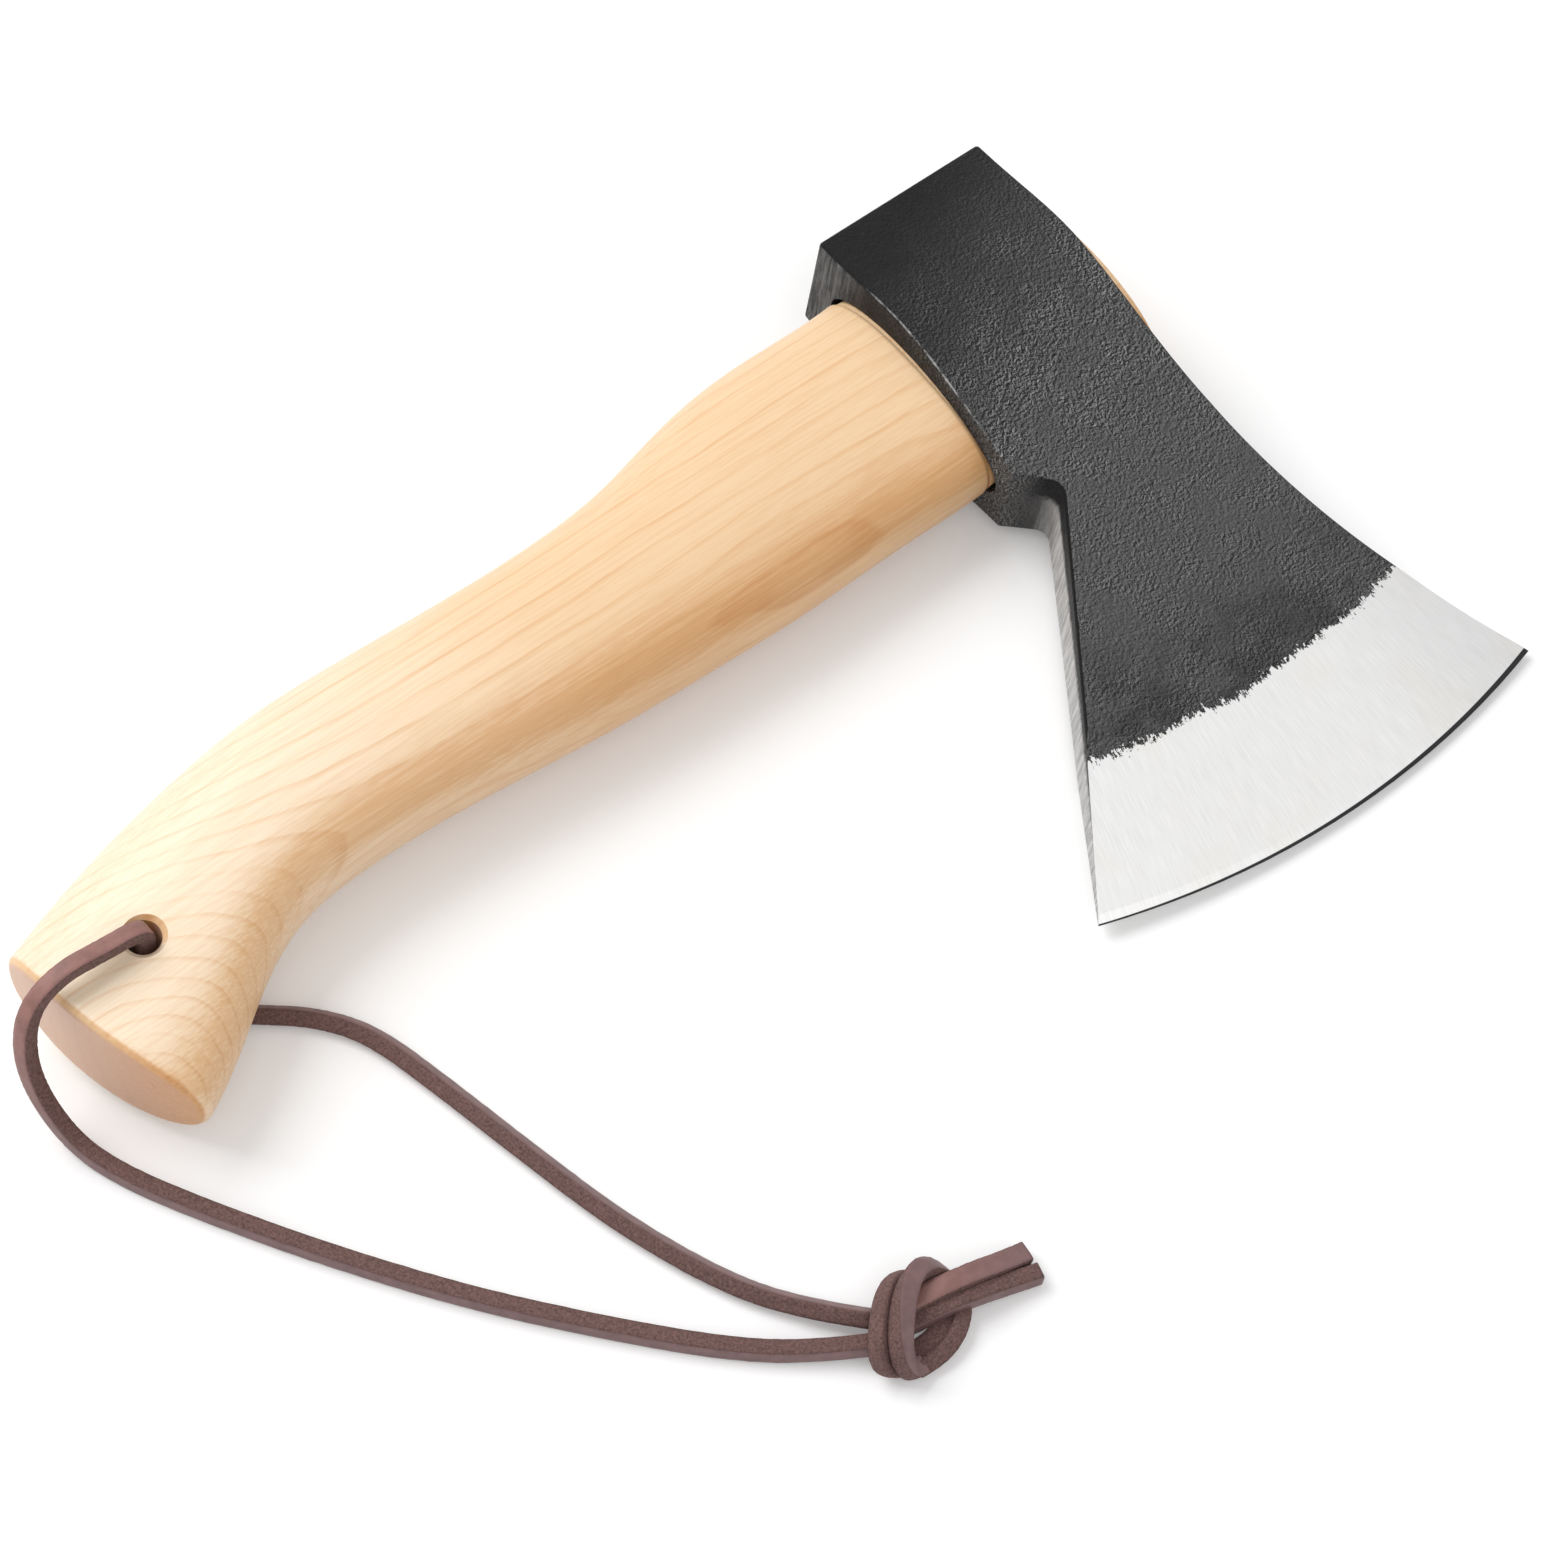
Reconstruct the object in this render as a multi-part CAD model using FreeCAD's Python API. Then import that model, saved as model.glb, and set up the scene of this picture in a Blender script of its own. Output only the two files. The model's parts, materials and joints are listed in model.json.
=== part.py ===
import FreeCAD
import Part
import math
import os

Vector = FreeCAD.Vector

# A small forestry hatchet that lies on its side: a forged head on a short curved ash handle,
# with a leather wrist thong through the butt. Millimetres.
#
# While it is modelled, X runs up the handle and is 0 at the underside of the head, Y is 0 at the
# poll face and falls towards the cutting edge, and Z is 0 on the middle plane of the hatchet.

# Head, seen from the side
head_height = 38.8            # underside to crown, at the poll
head_length = 142.0           # poll face to the furthest point of the edge
edge_radius = 177.5
edge_centre_x = 14.9          # the arc of the edge leans towards the toe
toe_x = 55.5
heel_x = -44.5
flare_start = 68.0            # where the crown leaves its straight line, from the poll
lug_drop = 1.5                # the lug hangs this far under the head's underside
lug_from_poll = 57.5
throat_x = 4.8                # deepest point of the beard, beside the lug
throat_from_poll = 64.0
lug_rounding = 1.0
throat_rounding = 3.0
poll_rounding = 0.8
forged_softening = 0.6        # every forged edge is rounded this much before the blade is ground

# Head, thickness
poll_thickness = 23.6
cheek_thickness = 30.0        # at the swell round the eye
cheek_from_poll = 25.0
lug_thickness = 18.6
throat_thickness = 16.8
straight_from_poll = 66.0     # from here to the grind the cheeks taper straight
swell_shoulder = 0.55         # share of the swell that is reached half way to its widest place
ebb_place = 0.46              # this share of the way from there to the lug,
ebb_share = 0.38              # this share of the swell has gone
grind_width = 29.0            # polished bevel, measured in from the edge
grind_thickness = 9.8         # where that bevel meets the forged cheek
hone_width = 1.8
hone_thickness = 1.3
edge_land = 0.2

# Eye of the head, an oval that widens a little towards the crown
eye_wall = 6.2                # steel behind the eye
eye_length = 48.2             # at the underside
eye_width = 18.6
eye_crown_length = 45.0
eye_crown_width = 20.4

# Tongue of the handle and its wedges
tongue_side_clearance = 0.05
tongue_end_clearance = 1.2    # open at both ends of the oval
tongue_proud = 2.7            # stands this far out of the crown
kerf_depth = 27.0
wedge_thickness = 4.4         # at its driven end
wedge_tip = 0.8
ring_diameter = 14.0
ring_wall = 1.5
ring_depth = 11.0
ring_sink = 0.4

# Handle
neck_gap = 0.2                # between the lug and the shoulder of the grip
shoulder_rounding = 1.1
butt_half_thickness = 11.9
butt_back = 27.5              # where the butt's end face meets the back, from the poll plane
butt_tip = 71.0
butt_reach = 198.0
butt_slant = 11.5             # the tip is this much nearer the head than the back corner
butt_bow = 3.6                # how far the end face bows out
butt_rounding = 1.8
bore_diameter = 6.4
bore_from_butt = 18.4         # from the butt's back corner
bore_y = -41.1
bore_mouth = 0.9              # both ends of the bore are countersunk this deep

# Sections across the handle: place, back, front and half thickness. The first list's places are
# distances below the head, and the second's are distances up from the butt's back corner.
neck_sections = [
    (lug_drop + neck_gap, 7.2, 53.3, 10.7),
    (14.0, 7.8, 53.4, 11.2),
    (34.0, 8.4, 53.4, 12.0),
    (50.0, 11.4, 53.4, 12.3),
    (67.0, 15.0, 52.6, 12.3),
]
grip_sections = [
    (106.0, 15.9, 51.0, 12.2),
    (80.0, 14.9, 48.4, 12.1),
    (62.0, 14.6, 47.7, 12.0),
    (46.0, 16.2, 49.4, butt_half_thickness),
    (32.0, 18.8, 56.2, butt_half_thickness),
    (16.0, 22.8, 67.0, butt_half_thickness),
    (-8.0, 30.4, 78.0, butt_half_thickness),
]
oval_power = 2.35             # 2 is an ellipse, and more makes the sides flatter
oval_points = 16

# Leather thong, and how the hatchet lies: on its cheek, on the start of its bevel, and on the
# thong that passes under the butt at the crossing, which is given from the bore.
thong_diameter = 3.0
floor_clearance = 0.05
crossing_x = 5.8
crossing_y = -7.6
crossing_rise = 0.36          # the butt's underside has curved up this much at the crossing

# Points of the thong's route, chosen by hand: X and Y from the middle of the bore, and the
# height of the thong's middle, first from where it leaves the bore's upper mouth, and in the
# other lists from the surface that the hatchet lies on.
ON_FLOOR = thong_diameter / 2 + floor_clearance
over_route = [
    (-7.6, -1.6, 0.6),
    (-15.4, -1.2, 1.4),
    (-22.6, -1.6, -2.0),
]
front_route = [
    (-25.8, -3.0, 19.0),
    (-26.4, -6.6, 9.8),
    (-25.2, -13.8, ON_FLOOR + 0.8),
    (-22.4, -23.0, ON_FLOOR),
    (-16.6, -35.0, ON_FLOOR),
    (-6.2, -53.7, ON_FLOOR),
    (7.6, -75.6, ON_FLOOR),
    (22.8, -95.6, ON_FLOOR),
    (37.0, -112.2, ON_FLOOR),
    (47.3, -120.8, ON_FLOOR + 0.5),
    (54.3, -125.6, ON_FLOOR + 1.6),
]
rear_route = [
    (0.1, 0.9, ON_FLOOR),
    (5.6, -5.6, ON_FLOOR),
    (12.4, -12.0, ON_FLOOR),
    (20.0, -18.6, ON_FLOOR),
    (25.8, -27.6, ON_FLOOR),
    (29.0, -43.4, ON_FLOOR),
    (32.4, -62.4, ON_FLOOR),
    (36.3, -82.2, ON_FLOOR),
    (42.6, -101.0, ON_FLOOR),
    (49.7, -113.2, ON_FLOOR + 0.4),
    (56.8, -121.9, ON_FLOOR + 1.6),
]
tail_routes = [
    [
        (67.0, -124.4, ON_FLOOR + 1.0),
        (73.2, -125.5, ON_FLOOR + 0.6),
        (79.2, -127.6, ON_FLOOR),
        (84.4, -129.0, ON_FLOOR),
    ],
    [
        (66.8, -127.9, ON_FLOOR + 0.8),
        (73.0, -129.2, ON_FLOOR + 0.4),
        (79.0, -131.3, ON_FLOOR),
        (84.2, -132.6, ON_FLOOR),
    ],
]
bore_lean = (0.3, -0.1)       # in the bore the thong stands this far off the middle, half way out
knot_place = (62.2, -126.6)
knot_diameter = 18.0
knot_height = 9.4
knot_rounding = 3.2

# Derived places
edge_centre_y = edge_radius - head_length
crown_x = head_height
tongue_length = head_height + tongue_proud
neck_x = -lug_drop - neck_gap
bore_x = bore_from_butt - butt_reach
eye_middle_y = -eye_wall - eye_length / 2
EXTRA = 5.0                   # how far a cutting tool runs past what it cuts


def between(start, end, share):
    return start + (end - start) * share


def edge_y(x):
    """Y of the cutting edge at a place along the handle's direction."""
    return edge_centre_y - math.sqrt(edge_radius ** 2 - (x - edge_centre_x) ** 2)


def rounded_corner(before, corner, after, radius):
    """An arc in the corner of two straight sides, with the points where it starts and ends."""
    to_before = (before - corner).normalize()
    to_after = (after - corner).normalize()
    half_angle = to_before.getAngle(to_after) / 2
    start = corner + to_before * (radius / math.tan(half_angle))
    end = corner + to_after * (radius / math.tan(half_angle))
    inward = (to_before + to_after).normalize()
    middle = corner + inward * (radius / math.sin(half_angle) - radius)
    return start, Part.Arc(start, middle, end).toShape(), end


def side_outline():
    """The head seen from the side, as a closed wire on the middle plane."""
    poll_low = Vector(0, 0, 0)
    poll_high = Vector(crown_x, 0, 0)
    lug = Vector(-lug_drop, -lug_from_poll, 0)
    throat = Vector(throat_x, -throat_from_poll, 0)
    heel = Vector(heel_x, edge_y(heel_x), 0)
    toe = Vector(toe_x, edge_y(toe_x), 0)
    flare = Vector(crown_x, -flare_start, 0)
    across = toe_x - crown_x
    along = flare.y - toe.y
    flare_radius = (across ** 2 + along ** 2) / (2 * across)
    half_turn = math.asin(along / flare_radius) / 2
    flare_middle = Vector(crown_x + flare_radius * (1 - math.cos(half_turn)),
                          flare.y - flare_radius * math.sin(half_turn), 0)
    edge_middle_x = (toe_x + heel_x) / 2
    edge_middle = Vector(edge_middle_x, edge_y(edge_middle_x), 0)
    high_start, high_arc, high_end = rounded_corner(flare, poll_high, poll_low, poll_rounding)
    low_start, low_arc, low_end = rounded_corner(poll_high, poll_low, lug, poll_rounding)
    lug_start, lug_arc, lug_end = rounded_corner(poll_low, lug, throat, lug_rounding)
    throat_start, throat_arc, throat_end = rounded_corner(lug, throat, heel, throat_rounding)
    edges = [
        high_arc,
        Part.LineSegment(high_end, low_start).toShape(),
        low_arc,
        Part.LineSegment(low_end, lug_start).toShape(),
        lug_arc,
        Part.LineSegment(lug_end, throat_start).toShape(),
        throat_arc,
        Part.LineSegment(throat_end, heel).toShape(),
        Part.Arc(heel, edge_middle, toe).toShape(),
        Part.Arc(toe, flare_middle, flare).toShape(),
        Part.LineSegment(flare, high_start).toShape(),
    ]
    return Part.Wire(Part.__sortEdges__(edges))


def forging():
    """The forged head before grinding: the side outline through the swell of its thickness."""
    half = cheek_thickness / 2 + EXTRA
    side = Part.Face(side_outline()).extrude(Vector(0, 0, 2 * half))
    side.translate(Vector(0, 0, -half))
    blank = side.common(thickness_profile()).Solids[0]
    rims = [edge for edge in blank.Edges if not runs_through_thickness(edge)]
    return blank.makeFillet(forged_softening, rims)


def runs_through_thickness(edge):
    """True for the upright edges of the side outline, which are already rounded."""
    middle = (edge.FirstParameter + edge.LastParameter) / 2
    return abs(edge.tangentAt(middle).z) > 0.9


def thickness_profile():
    """The head seen from the crown, swollen round the eye and thinning towards the blade."""
    x = -2 * head_height
    stations = [
        (0.0, poll_thickness / 2),
        (cheek_from_poll / 2, between(poll_thickness, cheek_thickness, swell_shoulder) / 2),
        (cheek_from_poll, cheek_thickness / 2),
        (between(cheek_from_poll, lug_from_poll, ebb_place),
         between(cheek_thickness, lug_thickness, ebb_share) / 2),
        (lug_from_poll, lug_thickness / 2),
        (straight_from_poll, throat_thickness / 2),
    ]
    taper = (throat_thickness - grind_thickness) / 2
    taper /= head_length - grind_width - stations[-1][0]
    far = head_length + EXTRA
    far_half = stations[-1][1] - taper * (far - stations[-1][0])
    edges = []
    for sign in (1, -1):
        swell = Part.BSplineCurve()
        swell.interpolate([Vector(x, -y, sign * z) for y, z in stations])
        edges.append(swell.toShape())
        start = Vector(x, -stations[-1][0], sign * stations[-1][1])
        edges.append(Part.LineSegment(start, Vector(x, -far, sign * far_half)).toShape())
    for y, half in ((0.0, poll_thickness / 2), (-far, far_half)):
        edges.append(Part.LineSegment(Vector(x, y, -half), Vector(x, y, half)).toShape())
    face = Part.Face(Part.Wire(Part.__sortEdges__(edges)))
    return face.extrude(Vector(5 * head_height, 0, 0))


def ground_blade():
    """A disc round the centre of the edge's arc that thins along the polished bevel and hone."""
    grind_r = edge_radius - grind_width
    hone_r = edge_radius - hone_width
    slope = (grind_thickness - hone_thickness) / (hone_r - grind_r) / 2
    full = cheek_thickness / 2 + EXTRA
    steep_r = grind_r - (full - grind_thickness / 2) / slope
    rim = [
        (0.0, full),
        (steep_r, full),
        (hone_r, hone_thickness / 2),
        (edge_radius, edge_land / 2),
    ]
    points = [Vector(r, 0, z) for r, z in rim] + [Vector(r, 0, -z) for r, z in reversed(rim)]
    disc = Part.Face(Part.makePolygon(points + [points[0]]))
    disc = disc.revolve(Vector(0, 0, 0), Vector(0, 0, 1), 360)
    disc.translate(Vector(edge_centre_x, edge_centre_y, 0))
    return disc


def oval_wire(x, length, width, middle_y):
    """An elliptical section of the eye, across the handle's direction."""
    ellipse = Part.Ellipse(Vector(0, 0, 0), length / 2, width / 2)
    wire = Part.Wire(ellipse.toShape())
    wire.rotate(Vector(0, 0, 0), Vector(0, 0, 1), 90)
    wire.rotate(Vector(0, 0, 0), Vector(0, 1, 0), 90)
    wire.translate(Vector(x, middle_y, 0))
    return wire


def eye_section(x, side_clearance, end_clearance):
    """The eye's oval at a place along X, shrunk by the clearances."""
    length = between(eye_length, eye_crown_length, x / head_height) - 2 * end_clearance
    width = between(eye_width, eye_crown_width, x / head_height) - 2 * side_clearance
    return oval_wire(x, length, width, eye_middle_y)


def make_axe_head():
    head = forging().common(ground_blade())
    ends = [eye_section(x, 0, 0) for x in (-EXTRA, head_height + EXTRA)]
    return head.cut(Part.makeLoft(ends, True)).Solids[0]


def tongue_section(x):
    return eye_section(x, tongue_side_clearance, tongue_end_clearance)


def tongue():
    """The part of the handle from its neck through the eye, a little proud of the crown."""
    return Part.makeLoft([tongue_section(neck_x), tongue_section(tongue_length)], True)


def wedge_blank():
    """The wooden wedge's taper, across the whole eye, in a kerf from the top of the tongue."""
    half_tip = wedge_tip / 2
    half_end = wedge_thickness / 2
    low = tongue_length - kerf_depth
    y = -head_length
    corners = [
        Vector(low, y, -half_tip),
        Vector(low, y, half_tip),
        Vector(tongue_length + EXTRA, y, half_end * (1 + EXTRA / kerf_depth)),
        Vector(tongue_length + EXTRA, y, -half_end * (1 + EXTRA / kerf_depth)),
    ]
    face = Part.Face(Part.makePolygon(corners + [corners[0]]))
    return face.extrude(Vector(0, head_length, 0))


def ring_tube(start, length):
    """The ring wedge's wall, driven along X in the middle of the tongue."""
    centre = Vector(start, eye_middle_y, 0)
    outer = Part.makeCylinder(ring_diameter / 2, length, centre, Vector(1, 0, 0))
    inner = Part.makeCylinder(ring_diameter / 2 - ring_wall, length, centre, Vector(1, 0, 0))
    return outer.cut(inner)


def make_ring_wedge():
    return ring_tube(tongue_length - ring_sink - ring_depth, ring_depth)


def ring_groove():
    return ring_tube(tongue_length - ring_sink - ring_depth, ring_depth + ring_sink + EXTRA)


def make_eye_wedge():
    return tongue().common(wedge_blank()).cut(ring_groove())


def handle_section(x, back, front, half_thickness):
    """A flat-sided oval across the handle, as a closed smooth curve."""
    middle_y = -(back + front) / 2
    half_width = (front - back) / 2
    points = []
    for step in range(oval_points):
        angle = 2 * math.pi * step / oval_points
        across = abs(math.cos(angle)) ** (2 / oval_power)
        through = abs(math.sin(angle)) ** (2 / oval_power)
        points.append(Vector(
            x,
            middle_y + math.copysign(across * half_width, math.cos(angle)),
            math.copysign(through * half_thickness, math.sin(angle)),
        ))
    curve = Part.BSplineCurve()
    curve.interpolate(Points=points, PeriodicFlag=True)
    return Part.Wire(curve.toShape())


def butt_cutter():
    """Everything past the bowed and slanted end face of the butt."""
    back = Vector(-butt_reach, -butt_back, 0)
    tip = Vector(-butt_reach + butt_slant, -butt_tip, 0)
    chord = tip - back
    radius = chord.Length ** 2 / (8 * butt_bow) + butt_bow / 2
    towards_head = Vector(-chord.y, chord.x, 0).normalize()
    centre = (back + tip) * 0.5 + towards_head * (radius - butt_bow)
    height = 2 * butt_half_thickness + 4 * EXTRA
    base = Vector(centre.x, centre.y, -height / 2)
    block = Part.makeBox(butt_reach, 2 * butt_tip, height,
                         Vector(centre.x - butt_reach, centre.y - butt_tip, -height / 2))
    return block.cut(Part.makeCylinder(radius, height, base))


def bore_cutters():
    """The thong's bore and the countersinks of its two mouths."""
    radius = bore_diameter / 2
    past = butt_half_thickness + EXTRA
    middle = Vector(bore_x, bore_y, 0)
    cutters = [Part.makeCylinder(radius, 2 * past, middle - Vector(0, 0, past))]
    for side in (Vector(0, 0, 1), Vector(0, 0, -1)):
        start = middle + side * (butt_half_thickness - bore_mouth)
        depth = bore_mouth + EXTRA
        cutters.append(Part.makeCone(radius, radius + depth, depth, start, side))
    return cutters


def make_handle():
    sections = []
    for distance, *row in neck_sections:
        sections.append(handle_section(-distance, *row))
    for distance, *row in grip_sections:
        sections.append(handle_section(distance - butt_reach, *row))
    grip = Part.makeLoft(sections, True).cut(butt_cutter())
    for cutter in bore_cutters():
        grip = grip.cut(cutter)
    end_face = min(grip.Faces, key=lambda face: face.CenterOfMass.x)
    grip = grip.makeFillet(butt_rounding, end_face.Edges)
    shoulder = max(grip.Faces, key=lambda face: face.CenterOfMass.x)
    grip = grip.makeFillet(shoulder_rounding, shoulder.Edges)
    inside_eye = tongue().cut(wedge_blank()).cut(ring_groove())
    return grip.fuse(inside_eye).Solids[0]


def thong_path(name, points):
    """Straight runs joined by arcs as large as the runs allow, with the radii printed."""
    edges = []
    radii = []
    here = points[0]
    for before, corner, after in zip(points, points[1:], points[2:]):
        half_turn = (corner - before).getAngle(after - corner) / 2
        run = min((corner - before).Length, (after - corner).Length)
        radius = 0.45 * run / math.tan(half_turn)
        start, arc, end = rounded_corner(before, corner, after, radius)
        edges.append(Part.LineSegment(here, start).toShape())
        edges.append(arc)
        radii.append(round(radius, 1))
        here = end
    edges.append(Part.LineSegment(here, points[-1]).toShape())
    path = Part.Wire(edges)
    print(name, "length", round(path.Length, 1), "radii", radii)
    return path


def thong_tube(name, points):
    path = thong_path(name, points)
    ring = Part.Wire(Part.makeCircle(thong_diameter / 2, points[0], points[1] - points[0]))
    tube = path.makePipeShell([ring], True, False)
    section = math.pi * thong_diameter ** 2 / 4
    print(name, "volume over section times length", round(tube.Volume / section / path.Length, 4))
    return tube


def make_knot(middle, strands):
    """The outer shape of the overhand knot, round the ends of the strands and tails."""
    base = Vector(middle.x + knot_place[0], middle.y + knot_place[1], floor_clearance)
    drum = Part.makeCylinder(knot_diameter / 2, knot_height, base)
    knot = drum.makeFillet(knot_rounding, [drum.Edges[0], drum.Edges[2]])
    return knot.cut(strands)


def lowest_point(shape, upwards):
    """The point of a shape that is furthest down, when upwards is up."""
    size = 4 * butt_reach
    table = Part.makePlane(size, size, Vector(-size / 2, -size / 2, -size / 2))
    table.Placement = FreeCAD.Placement(Vector(), FreeCAD.Rotation(Vector(0, 0, 1), upwards))
    return shape.distToShape(table)[1][0][0]


def resting_placement(head, pieces):
    """Lays the pieces on the three places that carry them, centred over the origin."""
    size = 2 * head_length
    cheeks = head.common(Part.makeBox(size, size, size, Vector(-size / 2, -lug_from_poll, -size / 2)))
    blade = head.cut(cheeks)
    cheek = Vector(crown_x, -cheek_from_poll, -cheek_thickness / 2)
    bevel = Vector(edge_centre_x, grind_width - head_length, -grind_thickness / 2)
    butt = Vector(bore_x + crossing_x, bore_y + crossing_y, crossing_rise - butt_half_thickness)
    butt.z -= thong_diameter + 2 * floor_clearance
    for attempt in range(6):
        upwards = (butt - cheek).cross(bevel - cheek).normalize()
        cheek = lowest_point(cheeks, upwards)
        bevel = lowest_point(blade, upwards)
    placement = FreeCAD.Placement(Vector(), FreeCAD.Rotation(upwards, Vector(0, 0, 1)))
    box = placed(Part.makeCompound(pieces), placement).optimalBoundingBox(False, False)
    placement.Base = Vector(-box.Center.x, -box.Center.y, -box.ZMin)
    print("lies on", [[round(value, 2) for value in placement.multVec(place)]
                      for place in (cheek, bevel, butt)])
    return placement


def placed(shape, placement):
    return shape.transformed(placement.toMatrix(), True)


def make_lanyard(placement):
    """The thong from the middle of its bore, both ways to the knot, and its two tails."""
    middle = placement.multVec(Vector(bore_x, bore_y, 0))
    bore_axis = placement.Rotation.multVec(Vector(0, 0, 1))
    leaves = middle + bore_axis * (butt_half_thickness + thong_diameter)
    inside = [middle, (middle + leaves) * 0.5 + Vector(*bore_lean), leaves]
    under = [middle, middle * 2 - inside[1]]

    def laid(route, height=0):
        return [Vector(middle.x + x, middle.y + y, height + z) for x, y, z in route]

    over = laid(over_route, leaves.z)
    front = thong_tube("lanyard_front_strand", inside + over + laid(front_route))
    rear = thong_tube("lanyard_rear_strand", under + laid(rear_route))
    tails = Part.makeCompound([thong_tube("lanyard_tail", laid(route)) for route in tail_routes])
    return {
        "lanyard_front_strand": front,
        "lanyard_rear_strand": rear,
        "lanyard_knot": make_knot(middle, [front, rear, tails]),
        "lanyard_tails": tails,
    }


hatchet = {
    "axe_head": make_axe_head(),
    "handle": make_handle(),
    "eye_wedge": make_eye_wedge(),
    "ring_wedge": make_ring_wedge(),
}
resting = resting_placement(hatchet["axe_head"], list(hatchet.values()))
nodes = {name: placed(shape, resting) for name, shape in hatchet.items()}
nodes.update(make_lanyard(resting))
print("flat of the blade faces", [round(value, 5) for value in resting.Rotation.multVec(Vector(0, 0, 1))])
poll = resting.multVec(Vector(head_height / 2, 0, 0))
print("poll face at", [round(value, 2) for value in poll],
      "faces", [round(value, 5) for value in resting.Rotation.multVec(Vector(0, 1, 0))])
os.makedirs("parts", exist_ok=True)
for name, shape in nodes.items():
    shape.exportStep("parts/" + name + ".step")
    print(name, "solids", len(shape.Solids), "valid", shape.isValid(), "volume", round(shape.Volume))
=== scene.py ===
import json
import math
import bmesh
import bpy
from mathutils import Matrix, Vector, noise


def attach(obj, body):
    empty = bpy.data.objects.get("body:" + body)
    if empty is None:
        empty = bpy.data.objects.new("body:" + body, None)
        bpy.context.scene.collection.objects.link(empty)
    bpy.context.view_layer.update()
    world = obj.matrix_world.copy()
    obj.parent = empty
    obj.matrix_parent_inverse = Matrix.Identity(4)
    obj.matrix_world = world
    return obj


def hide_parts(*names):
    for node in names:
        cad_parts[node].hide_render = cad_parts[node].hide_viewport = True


# A forestry hatchet lying on a white table: forged head, ash handle and a knotted leather thong.
# Metres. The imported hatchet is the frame, and every place is worked out from it.

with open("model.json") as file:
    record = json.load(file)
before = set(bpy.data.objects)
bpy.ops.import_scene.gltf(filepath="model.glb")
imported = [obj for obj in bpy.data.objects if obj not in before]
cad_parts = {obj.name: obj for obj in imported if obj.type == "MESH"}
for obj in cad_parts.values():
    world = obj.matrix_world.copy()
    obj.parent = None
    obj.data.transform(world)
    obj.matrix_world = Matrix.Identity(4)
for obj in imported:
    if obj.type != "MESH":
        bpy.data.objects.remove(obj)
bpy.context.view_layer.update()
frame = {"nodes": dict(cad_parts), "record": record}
nodes = frame["nodes"]
scene = bpy.context.scene
scene.view_settings.view_transform = "Standard"

# The hatchet's own axes run up the handle, towards the poll and square to the flat of the blade.
lying = dict(
    flatFaces=(0.01029, -0.11878, 0.99287),
    pollFaces=(0.00061, 0.99292, 0.11878),
    pollMiddle=0.0194,            # from the head's underside to the middle of the poll face
    bore=(-0.1796, -0.0411, 0.0),
)
hatchetUp = Vector(lying["flatFaces"])
hatchetBack = Vector(lying["pollFaces"])
hatchetAlong = hatchetBack.cross(hatchetUp)
hatchetTurn = Matrix((hatchetAlong, hatchetBack, hatchetUp)).transposed()
pollPlace = Vector(frame["record"]["mounts"][0]["pos_m"])
hatchetOrigin = pollPlace - hatchetAlong * lying["pollMiddle"]
boreMiddle = hatchetOrigin + hatchetTurn @ Vector(lying["bore"])


cameraView = dict(azimuth=-132.156, elevation=57.427, roll=2.81, distance=0.7581,
                  aim=(0.00456, -0.00012, 0.0), lens=100.0, sensor=36.0)


def towards(azimuth, elevation):
    azimuth, elevation = math.radians(azimuth), math.radians(elevation)
    level = math.cos(elevation)
    return Vector((level * math.cos(azimuth), level * math.sin(azimuth), math.sin(elevation)))


def makeCamera(v):
    data = bpy.data.cameras.new("camera")
    data.lens = v["lens"]
    data.sensor_width = v["sensor"]
    data.clip_start = 0.01
    camera = bpy.data.objects.new("camera", data)
    scene.collection.objects.link(camera)
    away = towards(v["azimuth"], v["elevation"])
    turn = away.to_track_quat("Z", "Y").to_matrix() @ Matrix.Rotation(math.radians(v["roll"]), 3, "Z")
    camera.matrix_world = Matrix.Translation(Vector(v["aim"]) + away * v["distance"]) @ turn.to_4x4()
    scene.camera = camera


softboxes = [
    dict(name="keyLight", azimuth=112, elevation=52, distance=1.3, size=0.9, watts=11.0),
    dict(name="fillLight", azimuth=-110, elevation=48, distance=1.6, size=1.4, watts=5.0),
]


def makeLights(boxes):
    for box in boxes:
        data = bpy.data.lights.new(box["name"], "AREA")
        data.shape = "SQUARE"
        data.size = box["size"]
        data.energy = box["watts"]
        light = bpy.data.objects.new(box["name"], data)
        away = towards(box["azimuth"], box["elevation"])
        light.matrix_world = (Matrix.Translation(away * box["distance"])
                              @ away.to_track_quat("Z", "Y").to_matrix().to_4x4())
        scene.collection.objects.link(light)


def addNode(tree, kind, sockets=None, **settings):
    node = tree.nodes.new(kind)
    for name, value in settings.items():
        setattr(node, name, value)
    for name, value in (sockets or {}).items():
        if isinstance(value, bpy.types.NodeSocket):
            tree.links.new(value, node.inputs[name])
        else:
            node.inputs[name].default_value = value
    return node


def addMath(tree, operation, *values, clamp=False):
    node = addNode(tree, "ShaderNodeMath", operation=operation, use_clamp=clamp)
    for socket, value in zip(node.inputs, values):
        if isinstance(value, bpy.types.NodeSocket):
            tree.links.new(value, socket)
        else:
            socket.default_value = value
    return node.outputs[0]


def addRange(tree, value, low, high, toLow=0.0, toHigh=1.0, smooth=True):
    node = addNode(tree, "ShaderNodeMapRange", {"Value": value, "From Min": low, "From Max": high,
                                                "To Min": toLow, "To Max": toHigh})
    node.interpolation_type = "SMOOTHSTEP" if smooth else "LINEAR"
    return node.outputs["Result"]


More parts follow.
